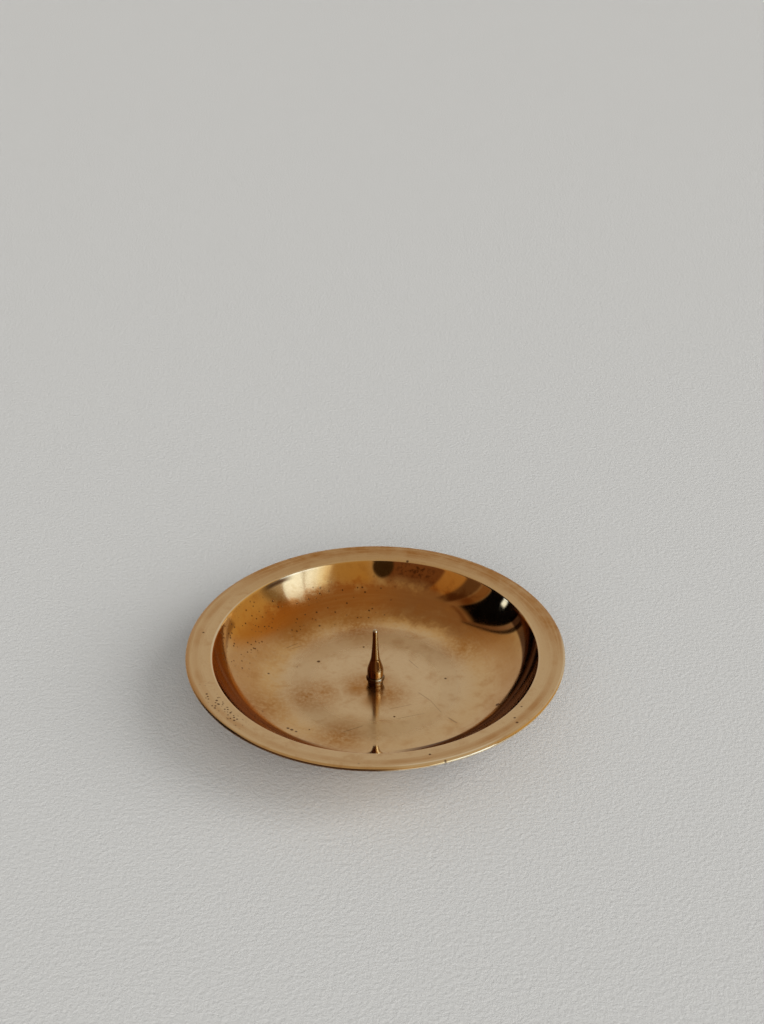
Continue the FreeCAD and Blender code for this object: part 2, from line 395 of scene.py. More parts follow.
class FinishColours(bpy.types.PropertyGroup):
    """Colours of the aged brass and of the table."""

    clean_brass: bpy.props.FloatVectorProperty(
        name="Clean brass", description="Where cloths have kept the brass bright", subtype="COLOR",
        default=(0.77, 0.54, 0.285))
    # This pale brass is also painted highlight on the well's lip and the front edge.
    worn_and_highlight_brass: bpy.props.FloatVectorProperty(
        name="Worn brass", description="Pale brass of the lip and edge, rubbed bright", subtype="COLOR",
        default=(0.98, 0.80, 0.54))
    warm_brass: bpy.props.FloatVectorProperty(
        name="Warm patina", description="Orange-brown patina in the curve of the well", subtype="COLOR",
        default=(0.50, 0.19, 0.04))
    golden_brass: bpy.props.FloatVectorProperty(
        name="Golden brass", description="Thin golden film round the patina", subtype="COLOR",
        default=(0.78, 0.44, 0.13))
    # This brown is also painted shade on the brim's outer edge at the left.
    brown_stain_and_shade: bpy.props.FloatVectorProperty(
        name="Brown stain", description="Brown bloom of old wax and fingers", subtype="COLOR",
        default=(0.50, 0.22, 0.05))
    # This brown is painted shade on the steep wall and at the right of the back.
    painted_shade_brown: bpy.props.FloatVectorProperty(
        name="Brown film", description="Thin dark film on the steep part of the wall", subtype="COLOR",
        default=(0.30, 0.155, 0.07))
    # This near black is also painted shade on the right of the steep wall and along the front left edge.
    pit_and_shade_brown: bpy.props.FloatVectorProperty(
        name="Pits", description="Nearly black corrosion pits", subtype="COLOR",
        default=(0.13, 0.058, 0.024))
    # This pale brass is also the spike's painted highlight at the front right and right.
    spike_brass: bpy.props.FloatVectorProperty(
        name="Spike's brass", description="Where the spike has been rubbed bright", subtype="COLOR",
        default=(1.0, 0.89, 0.67))
    spike_tarnish: bpy.props.FloatVectorProperty(
        name="Spike's tarnish", description="Dark brown tarnish of the spike", subtype="COLOR",
        default=(0.19, 0.085, 0.038))
    # The bead and collar are nearly black, darker towards the foot.
    dark_foot_colour: bpy.props.FloatVectorProperty(
        name="Tarnish of the bead", description="Nearly black tarnish of the bead and collar",
        subtype="COLOR",
        default=(0.05, 0.028, 0.018))
    table_paint: bpy.props.FloatVectorProperty(
        name="Table paint", description="Pale painted surface under the dish", subtype="COLOR",
        default=(0.53, 0.525, 0.505))


class Wire:
    """A node socket in one tree, on which Python's operators add Math nodes."""

    def __init__(self, tree, socket=None):
        self.tree = tree
        self.socket = socket

    def node(self, kind, settings=None, inputs=None, output=0):
        """Add a node, with its settings first and then the values or links of its sockets."""
        made = self.tree.nodes.new(kind)
        for key, value in (settings or {}).items():
            setattr(made, key, value)
        for key, value in (inputs or {}).items():
            if isinstance(value, Wire):
                self.tree.links.new(value.socket, made.inputs[key])
            else:
                made.inputs[key].default_value = value
        return Wire(self.tree, made.outputs[output])

    def math(self, operation, *values):
        return self.node("ShaderNodeMath", {"operation": operation}, dict(enumerate(values)))

    def __add__(self, other):
        return self.math("ADD", self, other)

    def __radd__(self, other):
        return self.math("ADD", other, self)

    def __sub__(self, other):
        return self.math("SUBTRACT", self, other)

    def __rsub__(self, other):
        return self.math("SUBTRACT", other, self)

    def __mul__(self, other):
        return self.math("MULTIPLY", self, other)

    def __rmul__(self, other):
        return self.math("MULTIPLY", other, self)

    def __truediv__(self, other):
        return self.math("DIVIDE", self, other)

    def __rtruediv__(self, other):
        return self.math("DIVIDE", other, self)

    def __abs__(self):
        return self.math("ABSOLUTE", self)


def smooth(value, start, end):
    """A soft step from 0 at start to 1 at end."""
    return value.node(
        "ShaderNodeMapRange", {"interpolation_type": "SMOOTHSTEP"},
        {"Value": value, "From Min": start, "From Max": end})


def band(value, start, end, soft):
    """1 between start and end, fading over soft at both sides."""
    return smooth(value, start - soft, start + soft) * (1 - smooth(value, end - soft, end + soft))


def lighter(first, *others):
    """The largest of some masks."""
    for other in others:
        first = first.math("MAXIMUM", first, other)
    return first


def blend_colour(mask, under, over):
    """The under colour with the over colour laid on by the mask."""
    return mask.node(
        "ShaderNodeMix", {"data_type": "RGBA"}, {"Factor": mask, 6: as_colour(under), 7: as_colour(over)}, 2)


def as_colour(colour):
    """A colour as a Mix socket takes it."""
    return colour if isinstance(colour, Wire) else (*colour, 1.0)


def noise(place, scale, detail, roughness, swirl=0.0):
    """Cloudy noise from 0 to 1 over a place."""
    return place.node(
        "ShaderNodeTexNoise", {"noise_dimensions": "3D"},
        {"Vector": place, "Scale": scale, "Detail": detail, "Roughness": roughness, "Distortion": swirl})


def millimetre_place(root):
    """Object coordinates in millimetres."""
    place = root.node("ShaderNodeTexCoord", output=3)
    return root.node("ShaderNodeVectorMath", {"operation": "SCALE"}, {0: place, "Scale": 1 / MM})


def part_of(vector, axis):
    """One coordinate of a place: 0, 1 or 2 for x, y or z."""
    return vector.node("ShaderNodeSeparateXYZ", inputs={0: vector}, output=axis)


def bearing(x, y):
    """The direction of a place from the axis, in degrees from +X towards +Y."""
    return x.math("ARCTAN2", y, x) * math.degrees(1)


def off_bearing(angle, degrees):
    """How far an angle lies from a direction, the shorter way round, in degrees."""
    return abs(angle.math("WRAP", angle - degrees, 180.0, -180.0))


def length_of(across, along):
    """The length of the way that two parts of it give."""
    return across.math("SQRT", across * across + along * along)


def clear_selection():
    """Leave edit mode and deselect everything."""
    if bpy.context.object and bpy.context.object.mode == "EDIT":
        bpy.ops.object.mode_set(mode="OBJECT")
    bpy.ops.object.select_all(action="DESELECT")


def start_outline(name, start):
    """A new mesh that holds one vertex, where a turned outline begins, left open in edit mode."""
    clear_selection()
    bpy.ops.mesh.primitive_plane_add(size=MM)
    piece = bpy.context.object
    piece.name = name
    piece.data.name = name
    bpy.ops.object.mode_set(mode="EDIT")
    bpy.ops.mesh.merge(type="CENTER")
    bpy.ops.transform.translate(value=(start[0], 0, start[1]))
    return piece


def draw_line(start, end, steps=1):
    """Extrude the outline's last vertex from start to end in equal steps."""
    step = ((end[0] - start[0]) / steps, 0, (end[1] - start[1]) / steps)
    for _ in range(steps):
        bpy.ops.mesh.extrude_region_move(TRANSFORM_OT_translate={"value": step})


def draw_arc(centre, start_deg, end_deg, steps):
    """Spin the outline's last vertex about a centre, from one angle to another."""
    angle = math.radians(end_deg - start_deg)
    bpy.ops.mesh.spin(steps=steps, angle=angle, center=(centre[0], 0, centre[1]), axis=(0, 1, 0))


def polar(centre, radius, degrees):
    """The point at an angle on a circle of the outline's plane."""
    angle = math.radians(degrees)
    return (centre[0] + radius * math.cos(angle), centre[1] + radius * math.sin(angle))


def direction_deg(start, end):
    """The angle of the way from one point to another."""
    return math.degrees(math.atan2(end[1] - start[1], end[0] - start[0]))


def meet(first, first_radius, second, second_radius):
    """Where two circles cross, on the left of the way from the first centre to the second."""
    gap = math.dist(first, second)
    along = (gap**2 + first_radius**2 - second_radius**2) / (2 * gap)
    turn = math.degrees(math.acos(along / first_radius))
    return polar(first, first_radius, direction_deg(first, second) + turn)


def round_corner(piece, corner, size, steps):
    """Round one corner of the outline with a vertex bevel."""
    bpy.ops.mesh.select_all(action="DESELECT")
    bpy.ops.object.mode_set(mode="OBJECT")
    place = Vector((corner[0], 0, corner[1]))
    nearest = min(piece.data.vertices, key=lambda vertex: (vertex.co - place).length)
    nearest.select = True
    bpy.ops.object.mode_set(mode="EDIT")
    bpy.ops.mesh.bevel(offset=size, segments=steps, affect="VERTICES")


def turn_outline(piece, steps):
    """Spin the whole outline round the axis into a closed mesh, and smooth it."""
    bpy.ops.mesh.select_all(action="SELECT")
    bpy.ops.mesh.remove_doubles(threshold=MERGE_DISTANCE)
    bpy.ops.mesh.spin(steps=steps, angle=FULL_TURN, center=(0, 0, 0), axis=(0, 0, 1))
    bpy.ops.mesh.select_all(action="SELECT")
    bpy.ops.mesh.remove_doubles(threshold=MERGE_DISTANCE)
    bpy.ops.mesh.normals_make_consistent(inside=False)
    bpy.ops.object.mode_set(mode="OBJECT")
    bpy.ops.object.shade_smooth_by_angle(angle=SMOOTH_ANGLE)
    return piece


def draw_dish(sizes):
    """The dish's section, from the hole's top over the floor, well and brim, and back under the foot."""
    floor_top = FOOT_HEIGHT + sizes.floor_thickness
    well = (sizes.floor_radius, floor_top + sizes.well_arc)
    wall_radius = sizes.well_arc + sizes.wall_thickness

    # From the edge inwards each circle lies on the line through the last join, so the arcs are tangent.
    edge = (sizes.rim_radius - sizes.edge_radius, DISH_HIGH.z)
    roll = polar(edge, sizes.edge_radius - sizes.roll_radius, ROLL_START_DEG)
    drop = roll[1] + sizes.roll_radius - DISH_HIGH.z
    edge = (edge[0], edge[1] - drop)
    roll = (roll[0], roll[1] - drop)
    crown = polar(roll, sizes.roll_radius - sizes.crown_radius, CROWN_START_DEG)
    lip = meet(well, sizes.well_arc + sizes.lip_round, crown, sizes.crown_radius - sizes.lip_round)
    lip_in_well = direction_deg(well, lip)
    lip_in_crown = direction_deg(crown, lip)

    # The underside is a straight line between the edge's circle and the rounding at the brim's root.
    root = polar(well, wall_radius + sizes.root_round, ROOT_DEG)
    reach = math.dist(root, edge)
    lean = math.degrees(math.acos((sizes.root_round + sizes.edge_radius) / reach))
    tangent_deg = direction_deg(root, edge) + lean
    edge_end = polar(edge, -sizes.edge_radius, tangent_deg)
    root_start = polar(root, sizes.root_round, tangent_deg)

    hole_top = (sizes.hole_radius, floor_top)
    hole_bottom = (sizes.hole_radius, FOOT_HEIGHT)
    floor_edge = (sizes.floor_radius, floor_top)
    wall_bottom = (sizes.floor_radius, FOOT_HEIGHT)
    foot_root = (sizes.foot_outer, FOOT_HEIGHT)
    foot_outer = (sizes.foot_outer, 0.0)
    foot_inner = (sizes.foot_inner, 0.0)
    recess_corner = (sizes.foot_inner, FOOT_HEIGHT)

    piece = start_outline("turned_dish", hole_top)
    draw_line(hole_top, floor_edge, FLOOR_STEPS)
    draw_arc(well, -90, lip_in_well, WELL_STEPS)
    draw_arc(lip, lip_in_well + 180, lip_in_crown, LIP_STEPS)
    draw_arc(crown, lip_in_crown, CROWN_START_DEG, CROWN_STEPS)
    draw_arc(roll, CROWN_START_DEG, ROLL_START_DEG, ROLL_STEPS)
    draw_arc(edge, ROLL_START_DEG, tangent_deg - 180, EDGE_STEPS)
    draw_line(edge_end, root_start, UNDERSIDE_STEPS)
    draw_arc(root, tangent_deg, ROOT_DEG + 180, ROOT_STEPS)
    draw_arc(well, ROOT_DEG, -90, WALL_STEPS)
    draw_line(wall_bottom, foot_root)
    draw_line(foot_root, foot_outer)
    draw_line(foot_outer, foot_inner)
    draw_line(foot_inner, recess_corner)
    draw_line(recess_corner, hole_bottom)
    draw_line(hole_bottom, hole_top)
    round_corner(piece, foot_root, *FOOT_ROOT_ROUND)
    round_corner(piece, foot_outer, *FOOT_EDGE_ROUND)
    round_corner(piece, foot_inner, *FOOT_EDGE_ROUND)
    round_corner(piece, recess_corner, *RECESS_ROUND)
    return turn_outline(piece, sizes.turns)


def draw_spike(sizes):
    """The spike's section from its tip down to the end of its shank."""
    floor_top = SPIKE_HIGH.z - SPIKE_HEIGHT
    tip = (0.0, SPIKE_HIGH.z - sizes.tip_radius)
    pin = (sizes.tip_radius + sizes.pin_arc, tip[1])
    pin_end = polar(pin, -sizes.pin_arc, sizes.pin_flare_deg)
    waist = polar(pin_end, sizes.waist_arc, sizes.pin_flare_deg)
    waist_end = polar(waist, -sizes.waist_arc, sizes.flank_deg)
    shoulder = (sizes.shoulder_radius - sizes.shoulder_arc, floor_top + sizes.shoulder_height)
    shoulder_start = polar(shoulder, sizes.shoulder_arc, sizes.flank_deg)
    shoulder_side = (sizes.shoulder_radius, shoulder[1])
    shoulder_base = (sizes.shoulder_radius, floor_top + sizes.shoulder_bottom)
    neck_top = (sizes.neck_radius, floor_top + sizes.shoulder_bottom)
    neck_bottom = (sizes.neck_radius, floor_top + sizes.bead_top)
    bead_half = (sizes.bead_top - sizes.bead_bottom) / 2
    bead = (sizes.bead_radius - bead_half, floor_top + sizes.bead_bottom + bead_half)
    bead_upper = (bead[0], neck_bottom[1])
    bead_lower = (bead[0], floor_top + sizes.bead_bottom)
    groove_top = (sizes.neck_radius, bead_lower[1])
    groove_bottom = (sizes.neck_radius, floor_top + sizes.collar_height)
    collar_top = (sizes.collar_radius, groove_bottom[1])
    collar_bottom = (sizes.collar_radius, floor_top)
    shank_top = (sizes.shank_radius, floor_top)
    shank_end = (sizes.shank_radius, SPIKE_LOW.z)
    shank_middle = (0.0, SPIKE_LOW.z)

    piece = start_outline("turned_spike", (0.0, SPIKE_HIGH.z))
    draw_arc(tip, 90, 0, TIP_STEPS)
    draw_arc(pin, 180, 180 + sizes.pin_flare_deg, PIN_STEPS)
    draw_arc(waist, 180 + sizes.pin_flare_deg, 180 + sizes.flank_deg, WAIST_STEPS)
    draw_line(waist_end, shoulder_start, FLANK_STEPS)
    draw_arc(shoulder, sizes.flank_deg, 0, SHOULDER_STEPS)
    draw_line(shoulder_side, shoulder_base)
    draw_line(shoulder_base, neck_top)
    draw_line(neck_top, neck_bottom)
    draw_line(neck_bottom, bead_upper)
    draw_arc(bead, 90, -90, BEAD_STEPS)
    draw_line(bead_lower, groove_top)
    draw_line(groove_top, groove_bottom)
    draw_line(groove_bottom, collar_top)
    draw_line(collar_top, collar_bottom)
    draw_line(collar_bottom, shank_top)
    draw_line(shank_top, shank_end)
    draw_line(shank_end, shank_middle)
    round_corner(piece, shoulder_base, *SHOULDER_BASE_ROUND)
    round_corner(piece, neck_top, *NECK_ROUND)
    round_corner(piece, collar_top, *COLLAR_TOP_ROUND)
    round_corner(piece, collar_bottom, *COLLAR_FOOT_ROUND)
    round_corner(piece, shank_end, *SHANK_ROUND)
    return turn_outline(piece, sizes.turns)


def seat(piece, node, material):
    """Give a finished piece its material, and let it stand for its solid."""
    piece.data.materials.clear()
    piece.data.materials.append(material)
    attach(piece, "root")
    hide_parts(node)


def new_material(name):
    """An empty node material with its surface shader."""
    material = bpy.data.materials.new(name)
    material.use_nodes = True
    return material, Wire(material.node_tree), material.node_tree.nodes["Principled BSDF"]


def feed(shader, socket, value):
    """Link a wire, or set a constant, on a shader's socket."""
    if isinstance(value, Wire):
        value.tree.links.new(value.socket, shader.inputs[socket])
    else:
        shader.inputs[socket].default_value = value


class DishPlaces:
    """Where a point lies on the dish, and the noises and zones that its marks share."""

    def __init__(self, root):
        self.place = millimetre_place(root)
        self.flat = root.node("ShaderNodeVectorMath", {"operation": "MULTIPLY"}, {
            0: self.place, 1: (1.0, 1.0, 0.0)})
        self.x = part_of(self.place, 0)
        self.y = part_of(self.place, 1)
        self.radius = root.node("ShaderNodeVectorMath", {"operation": "LENGTH"}, {0: self.flat}, "Value")
        self.angle = bearing(self.x, self.y)
        self.cloud = noise(self.place, *CLOUD_NOISE)
        self.mottle = noise(self.place, *MOTTLE_NOISE)
        self.fine = noise(self.place, *FINE_NOISE)
        self.grit = noise(self.place, *GRIT_NOISE)
        self.wiped = wiped_noise(self.flat, self.radius)
        self.turned = root.node("ShaderNodeTexNoise", {"noise_dimensions": "1D"}, {
            "W": self.radius, "Scale": TURNING_LINES, "Detail": TURNING_DETAIL})
        self.floor = 1 - smooth(self.radius, *FLOOR_FADE)
        self.brim = smooth(self.radius, *BRIM_FADE)
        self.hazed = band(self.angle, *HAZED_STRETCH) * band(self.radius, *HAZED_ZONE)

    def gap_to(self, centre):
        """The distance from a place, seen from above."""
        return self.flat.node(
            "ShaderNodeVectorMath", {"operation": "DISTANCE"}, {0: self.flat, 1: (*centre, 0.0)}, "Value")


def wiped_noise(flat, radius):
    """Streaks that run round the dish, as turning and polishing leave them."""
    heading = flat.node("ShaderNodeVectorMath", {"operation": "NORMALIZE"}, {0: flat})
    across = flat.node("ShaderNodeCombineXYZ", inputs={2: radius * WIPED_ACROSS})
    round_dish = flat.node("ShaderNodeVectorMath", {"operation": "MULTIPLY_ADD"}, {
        0: heading, 1: (WIPED_ROUND, WIPED_ROUND, WIPED_ROUND), 2: across})
    return noise(round_dish, *WIPED_NOISE)


def dot_at(dish, centre, size, soft=0.25):
    """A small round mark at a place on the dish."""
    return 1 - smooth(dish.gap_to(centre), size - soft, size + soft)


def bloom_at(dish, centre, size, ragged):
    """A soft stain at a place, with a ragged outline."""
    return 1 - smooth(dish.gap_to(centre) + (dish.mottle - 0.5) * ragged, 0.0, size)


def scratch(dish, start, end, width):
    """A fine straight scratch between two places."""
    length = math.dist(start, end)
    along_x = (end[0] - start[0]) / length
    along_y = (end[1] - start[1]) / length
    x = dish.x - start[0]
    y = dish.y - start[1]
    along = x * along_x + y * along_y
    off = abs(y * along_x - x * along_y)
    return band(along, 0.0, length, 0.8) * (1 - smooth(off, 0.0, width))


def pits(place, spacing, size, share):
    """Scattered round pits: one in some of the cells that divide the surface."""
    cells = {"Vector": place, "Scale": 1 / spacing, "Randomness": 1.0}
    gap = place.node("ShaderNodeTexVoronoi", {}, cells, "Distance") * spacing
    tint = place.node("ShaderNodeTexVoronoi", {}, cells, "Color")
    chance = part_of(tint, 0)
    spread = part_of(tint, 1)
    round_pit = 1 - smooth(gap, size * spread, size * (spread + 0.45))
    return round_pit * (1 - smooth(chance, share - 0.01, share))


def patina_and_back_shade(dish):
    """The well's orange patina, the golden film round it, and painted shade at the right of the back."""
    ragged = dish.radius + (dish.mottle - 0.5) * 13.0 + (dish.fine - 0.5) * 3.0
    curve = smooth(ragged, *PATINA_RISE) * (1 - smooth(ragged, *PATINA_FALL))

    # The patina is strongest at the back and left, where cloths reach least.
    behind = off_bearing(dish.angle, BACK_DEG)
    patina = curve * (0.95 - 0.55 * smooth(behind, 42.0, 76.0) - 0.25 * smooth(behind, 90.0, 150.0))
    patina = patina * (0.86 + 0.14 * smooth(dish.wiped, 0.3, 0.6))
    around = off_bearing(dish.angle, LEFT_BACK_DEG)
    golden = band(ragged, *GOLDEN_ZONE) * (0.9 - 0.7 * smooth(around, 75.0, 140.0))
    golden = golden * smooth(dish.fine, 0.1, 0.6) * (1 - dish.hazed * 0.9)
    # Painted shade: the right of the back is darkened with brown where it shows dark reflections.
    painted_back_shade = band(dish.angle, *SHADED_STRETCH) * band(ragged, *SHADED_ZONE) * 0.5
    return patina, golden, painted_back_shade


def spike_halo(dish):
    """The brown bloom round the spike's foot, with its lobes at the left, the right and the front."""
    halo = lighter(
        bloom_at(dish, *HALO_MIDDLE), bloom_at(dish, *HALO_LEFT), bloom_at(dish, *HALO_RIGHT) * 0.6)
    halo = halo * (0.75 + 0.25 * smooth(dish.fine, 0.3, 0.65))
    return lighter(halo, bloom_at(dish, *HALO_FRONT) * 0.85)


def stains_and_edge_shade(dish):
    """Brown blooms and haze on the floor, round the spike's foot and along the brim, with painted shade on
    the brim's outer edge at the left.
    """
    bloom = bloom_at(dish, *WIDE_BLOOM)
    for centre, size in FLOOR_BLOOMS:
        bloom = lighter(bloom, bloom_at(dish, centre, size, size * BLOOM_RAGGED))
    bloom = bloom * (0.6 + 0.4 * smooth(dish.mottle, 0.4, 0.55)) * (0.6 + 0.4 * smooth(dish.fine, 0.35, 0.6))
    haze = lighter(smooth(dish.mottle, 0.45, 0.78) * 0.42, smooth(dish.fine, 0.5, 0.8) * 0.2)

    brim_band = band(dish.radius + (dish.wiped - 0.5) * 3.0, *BRIM_BAND_ZONE)
    brim_band = brim_band * (
        0.22 + 0.3 * smooth(dish.cloud, 0.4, 0.6) + 0.2 * band(dish.angle, *BRIM_BAND_STRETCH))
    brim_back = smooth(dish.radius, *BRIM_BACK_FADE) * smooth(dish.y + dish.x * 0.35, 0.0, 44.0)
    brim_back = brim_back * (0.6 + 0.4 * smooth(dish.mottle, 0.3, 0.65))
    brim_back = brim_back * (0.55 + 0.45 * smooth(dish.wiped, 0.35, 0.6))
    # The outer edge is browner at the back and left: stain, with painted shade at the left.
    brim_edge_stain_and_shade = smooth(dish.radius + (dish.wiped - 0.5) * 2.0, *BRIM_EDGE_FADE) * 0.6
    brim_edge_stain_and_shade = brim_edge_stain_and_shade * smooth(dish.y - dish.x * 0.5, -35.0, 5.0)
    return lighter(bloom, spike_halo(dish), haze, brim_band, brim_edge_stain_and_shade, brim_back)


def painted_wall_shade(dish):
    """Painted shade: brown on the steep wall, left and right, where the wall shows dark reflections."""
    right = smooth(dish.x, -1.0, 1.0)
    across = dish.x / (WALL_SHADE_HALF_WIDTH - WALL_SHADE_RIGHT_NARROWER * right)
    ahead = (dish.y - WALL_SHADE_MIDDLE_Y) / WALL_SHADE_HALF_DEPTH
    steep = smooth(length_of(across, ahead), *WALL_SHADE_BORDER) * (1 - smooth(dish.radius, *WALL_SHADE_END_FADE))
    steep = steep * (1 - smooth(dish.y - 4.0 * right, *WALL_SHADE_BACK_FADE))
    return steep * smooth(dish.x, *WALL_SHADE_LEFT_FADE), steep * smooth(dish.x, *WALL_SHADE_RIGHT_FADE)


def corrosion(dish):
    """Pits in the brim at the front left, on the wall at the left and back, and single ones elsewhere."""
    brim = pits(dish.place, *BRIM_PITS) * band(dish.radius, *BRIM_PIT_ZONE)
    brim = brim * band(dish.angle, *BRIM_PIT_STRETCH)
    left = pits(dish.place, *LEFT_PITS) * band(dish.radius, *LEFT_PIT_ZONE)
    left = left * band(abs(dish.angle), *LEFT_PIT_STRETCH) * smooth(dish.y, -8.0, 4.0)
    back = pits(dish.place, *BACK_PITS) * band(dish.radius, *BACK_PIT_ZONE)
    back = back * band(dish.angle, *BACK_PIT_STRETCH)
    pitted = lighter(brim, left, back, pits(dish.place, *STRAY_PITS))
    for centre, size in LONE_PITS:
        pitted = lighter(pitted, dot_at(dish, centre, size))
    return pitted


def crusts_and_edge_shade(dish):
    """Nearly black crust under the lip at the back, and painted shade along the edge at the front left."""
    patch = band(dish.radius, *PATCH_ZONE) * band(dish.angle, *PATCH_STRETCH) * smooth(dish.fine, 0.46, 0.66)
    crust = band(dish.radius, *CRUST_ZONE) * band(dish.angle, *CRUST_STRETCH)
    # Painted shade: a dark line on the edge at the front left, where it shows dark reflections.
    painted_edge_shade = smooth(dish.radius, *DARK_EDGE_FADE) * band(dish.angle, *DARK_EDGE_STRETCH)
    return lighter(patch * 0.75, lighter(crust, painted_edge_shade) * 0.95)


def painted_edge_highlights(dish):
    """Painted highlight: pale brass on the well's lip, strongest at the back left, and on the edge at the
    front and right.
    """
    side = off_bearing(dish.angle, LEFT_DEG)
    lip = band(dish.radius, *LIP_HIGHLIGHT_ZONE) * (0.85 - 0.6 * smooth(side, 25.0, 75.0))
    front = smooth(dish.radius, *EDGE_HIGHLIGHT_FADE) * band(dish.angle, *EDGE_HIGHLIGHT_STRETCH)
    front_right_highlight = smooth(dish.radius, *RIGHT_EDGE_HIGHLIGHT_FADE) * band(dish.angle, *RIGHT_EDGE_HIGHLIGHT_STRETCH) * 0.6
    return lighter(lip, front, front_right_highlight)


def fine_scratches(dish):
    """All the single scratches, broken up a little along their way."""
    scored = scratch(dish, *SCRATCHES[0])
    for start, end, width in SCRATCHES[1:]:
        scored = lighter(scored, scratch(dish, start, end, width))
    return scored * smooth(dish.grit, 0.25, 0.5)


def aged_brass(colours):
    """Cloth-polished old brass: bright floor and brim, warm patina, stains, pits and scratches."""
    material, root, shader = new_material("aged_brass")
    dish = DishPlaces(root)
    patina, golden, painted_back_shade = patina_and_back_shade(dish)
    stain = stains_and_edge_shade(dish)
    # Both masks here are painted shade on the steep wall, left and right.
    film, right_wall_shade = painted_wall_shade(dish)
    pitted = corrosion(dish)
    scored = fine_scratches(dish)

    colour = blend_colour(dish.floor * 0.22, colours.clean_brass, colours.worn_and_highlight_brass)
    colour = blend_colour(golden * 0.6, colour, colours.golden_brass)
    colour = blend_colour(patina, colour, colours.warm_brass)
    # Painted shade on the steep wall and at the right of the back.
    colour = blend_colour(lighter(film * 0.8, right_wall_shade, painted_back_shade), colour, colours.painted_shade_brown)
    colour = blend_colour(right_wall_shade * 0.9, colour, colours.pit_and_shade_brown)
    # The stain mask also carries painted shade on the brim's outer edge at the left.
    colour = blend_colour(stain, colour, colours.brown_stain_and_shade)
    # Painted highlight on the lip and the front edge.
    colour = blend_colour(painted_edge_highlights(dish), colour, colours.worn_and_highlight_brass)
    # The dark line on the front left edge is painted shade.
    colour = blend_colour(lighter(scored * 0.5, crusts_and_edge_shade(dish)), colour, colours.pit_and_shade_brown)
    colour = blend_colour(pitted * 0.85, colour, colours.pit_and_shade_brown)

    # The floor is polished best near the spike, where it mirrors it.
    dulled = smooth(dish.radius, *POLISHED_FADE)
    rough = 0.05 + (0.05 + 0.15 * dulled) * dish.floor + 0.07 * dish.brim + 0.04 * dish.mottle
    rough = rough + 0.06 * dish.turned * dish.floor + 0.06 * stain + 0.2 * pitted + 0.09 * dish.hazed

    # The normals lean as if the floor rose very slightly towards the spike.
    height = noise(dish.place, *WAVE_NOISE) * WAVE_HEIGHT
    height = height + (1 - smooth(dish.radius, 0.0, DOME_RADIUS)) * DOME_HEIGHT
    height = height + dish.turned * dish.floor * TURNING_HEIGHT + dish.wiped * dish.brim * WIPED_HEIGHT
    height = height - pitted * PIT_DEPTH - scored * SCRATCH_DEPTH
    bump = root.node("ShaderNodeBump", inputs={"Strength": 1.0, "Distance": MM, "Height": height})

    feed(shader, "Base Color", colour)
    feed(shader, "Metallic", 1.0)
    feed(shader, "Roughness", rough)
    feed(shader, "Anisotropic", BRASS_ANISOTROPY)
    feed(shader, "Anisotropic Rotation", BRASS_ANISOTROPY_TURN)
    feed(shader, "Normal", bump)
    return material


def plain_brass(name, colours):
    """Darker brass for the parts that no cloth reaches."""
    material, root, shader = new_material(name)
    mottle = noise(millimetre_place(root), *FASTENING_NOISE)
    colour = blend_colour(smooth(mottle, 0.35, 0.75), colours.clean_brass, colours.brown_stain_and_shade)
    feed(shader, "Base Color", colour)
    feed(shader, "Metallic", 1.0)
    feed(shader, "Roughness", FASTENING_ROUGHNESS + 0.1 * mottle)
    return material


def spike_metal(colours):
    """The spike's brown tarnish, with pale bands up its sides: painted highlight at the front right and
    right, and pale brass at the back and the tip.
    """
    material, root, shader = new_material("spike_brass")
    place = millimetre_place(root)
    height = part_of(place, 2)
    angle = bearing(part_of(place, 0), part_of(place, 1))
    mottle = noise(place, *SPIKE_NOISE)
    # Painted highlight: the front right and right bands are pale brass on the side towards the window.
    front = band(angle, *SPIKE_HIGHLIGHT_STRETCH)
    back = band(angle, *SPIKE_BACK_STRETCH) * 0.8
    right = (1 - smooth(abs(angle - SPIKE_RIGHT_HIGHLIGHT_DEG), *SPIKE_RIGHT_HIGHLIGHT_FADE)) * 0.35
    tip = smooth(height, *SPIKE_TIP_FADE)
    low = 1 - smooth(height, *SPIKE_BEAD_FADE)
    # This mask holds the painted highlight as well as the pale back and tip.
    rubbed = lighter(lighter(front, back, right) * (1 - 0.3 * low), tip * 0.5)
    rubbed = rubbed * (1 - smooth(mottle, 0.55, 0.8) * 0.4)
    # From the bead down the spike is nearly black, darker towards its foot.
    tarnish = blend_colour(low * 0.75, colours.spike_tarnish, colours.dark_foot_colour)
    feed(shader, "Base Color", blend_colour(rubbed, tarnish, colours.spike_brass))
    feed(shader, "Metallic", 1.0)
    feed(shader, "Roughness", 0.06 + 0.06 * mottle + 0.22 * low)
    return material


def table_paint(colours):
    """Matt pale paint with a very fine roller texture."""
    material, root, shader = new_material("table_paint")
    grain = noise(millimetre_place(root), *PAINT_NOISE)
    bump = root.node("ShaderNodeBump", inputs={
        "Strength": 1.0, "Distance": PAINT_HEIGHT * MM, "Height": grain})
    feed(shader, "Base Color", (*colours.table_paint, 1.0))
    feed(shader, "Roughness", PAINT_ROUGHNESS)
    feed(shader, "Normal", bump)
    return material


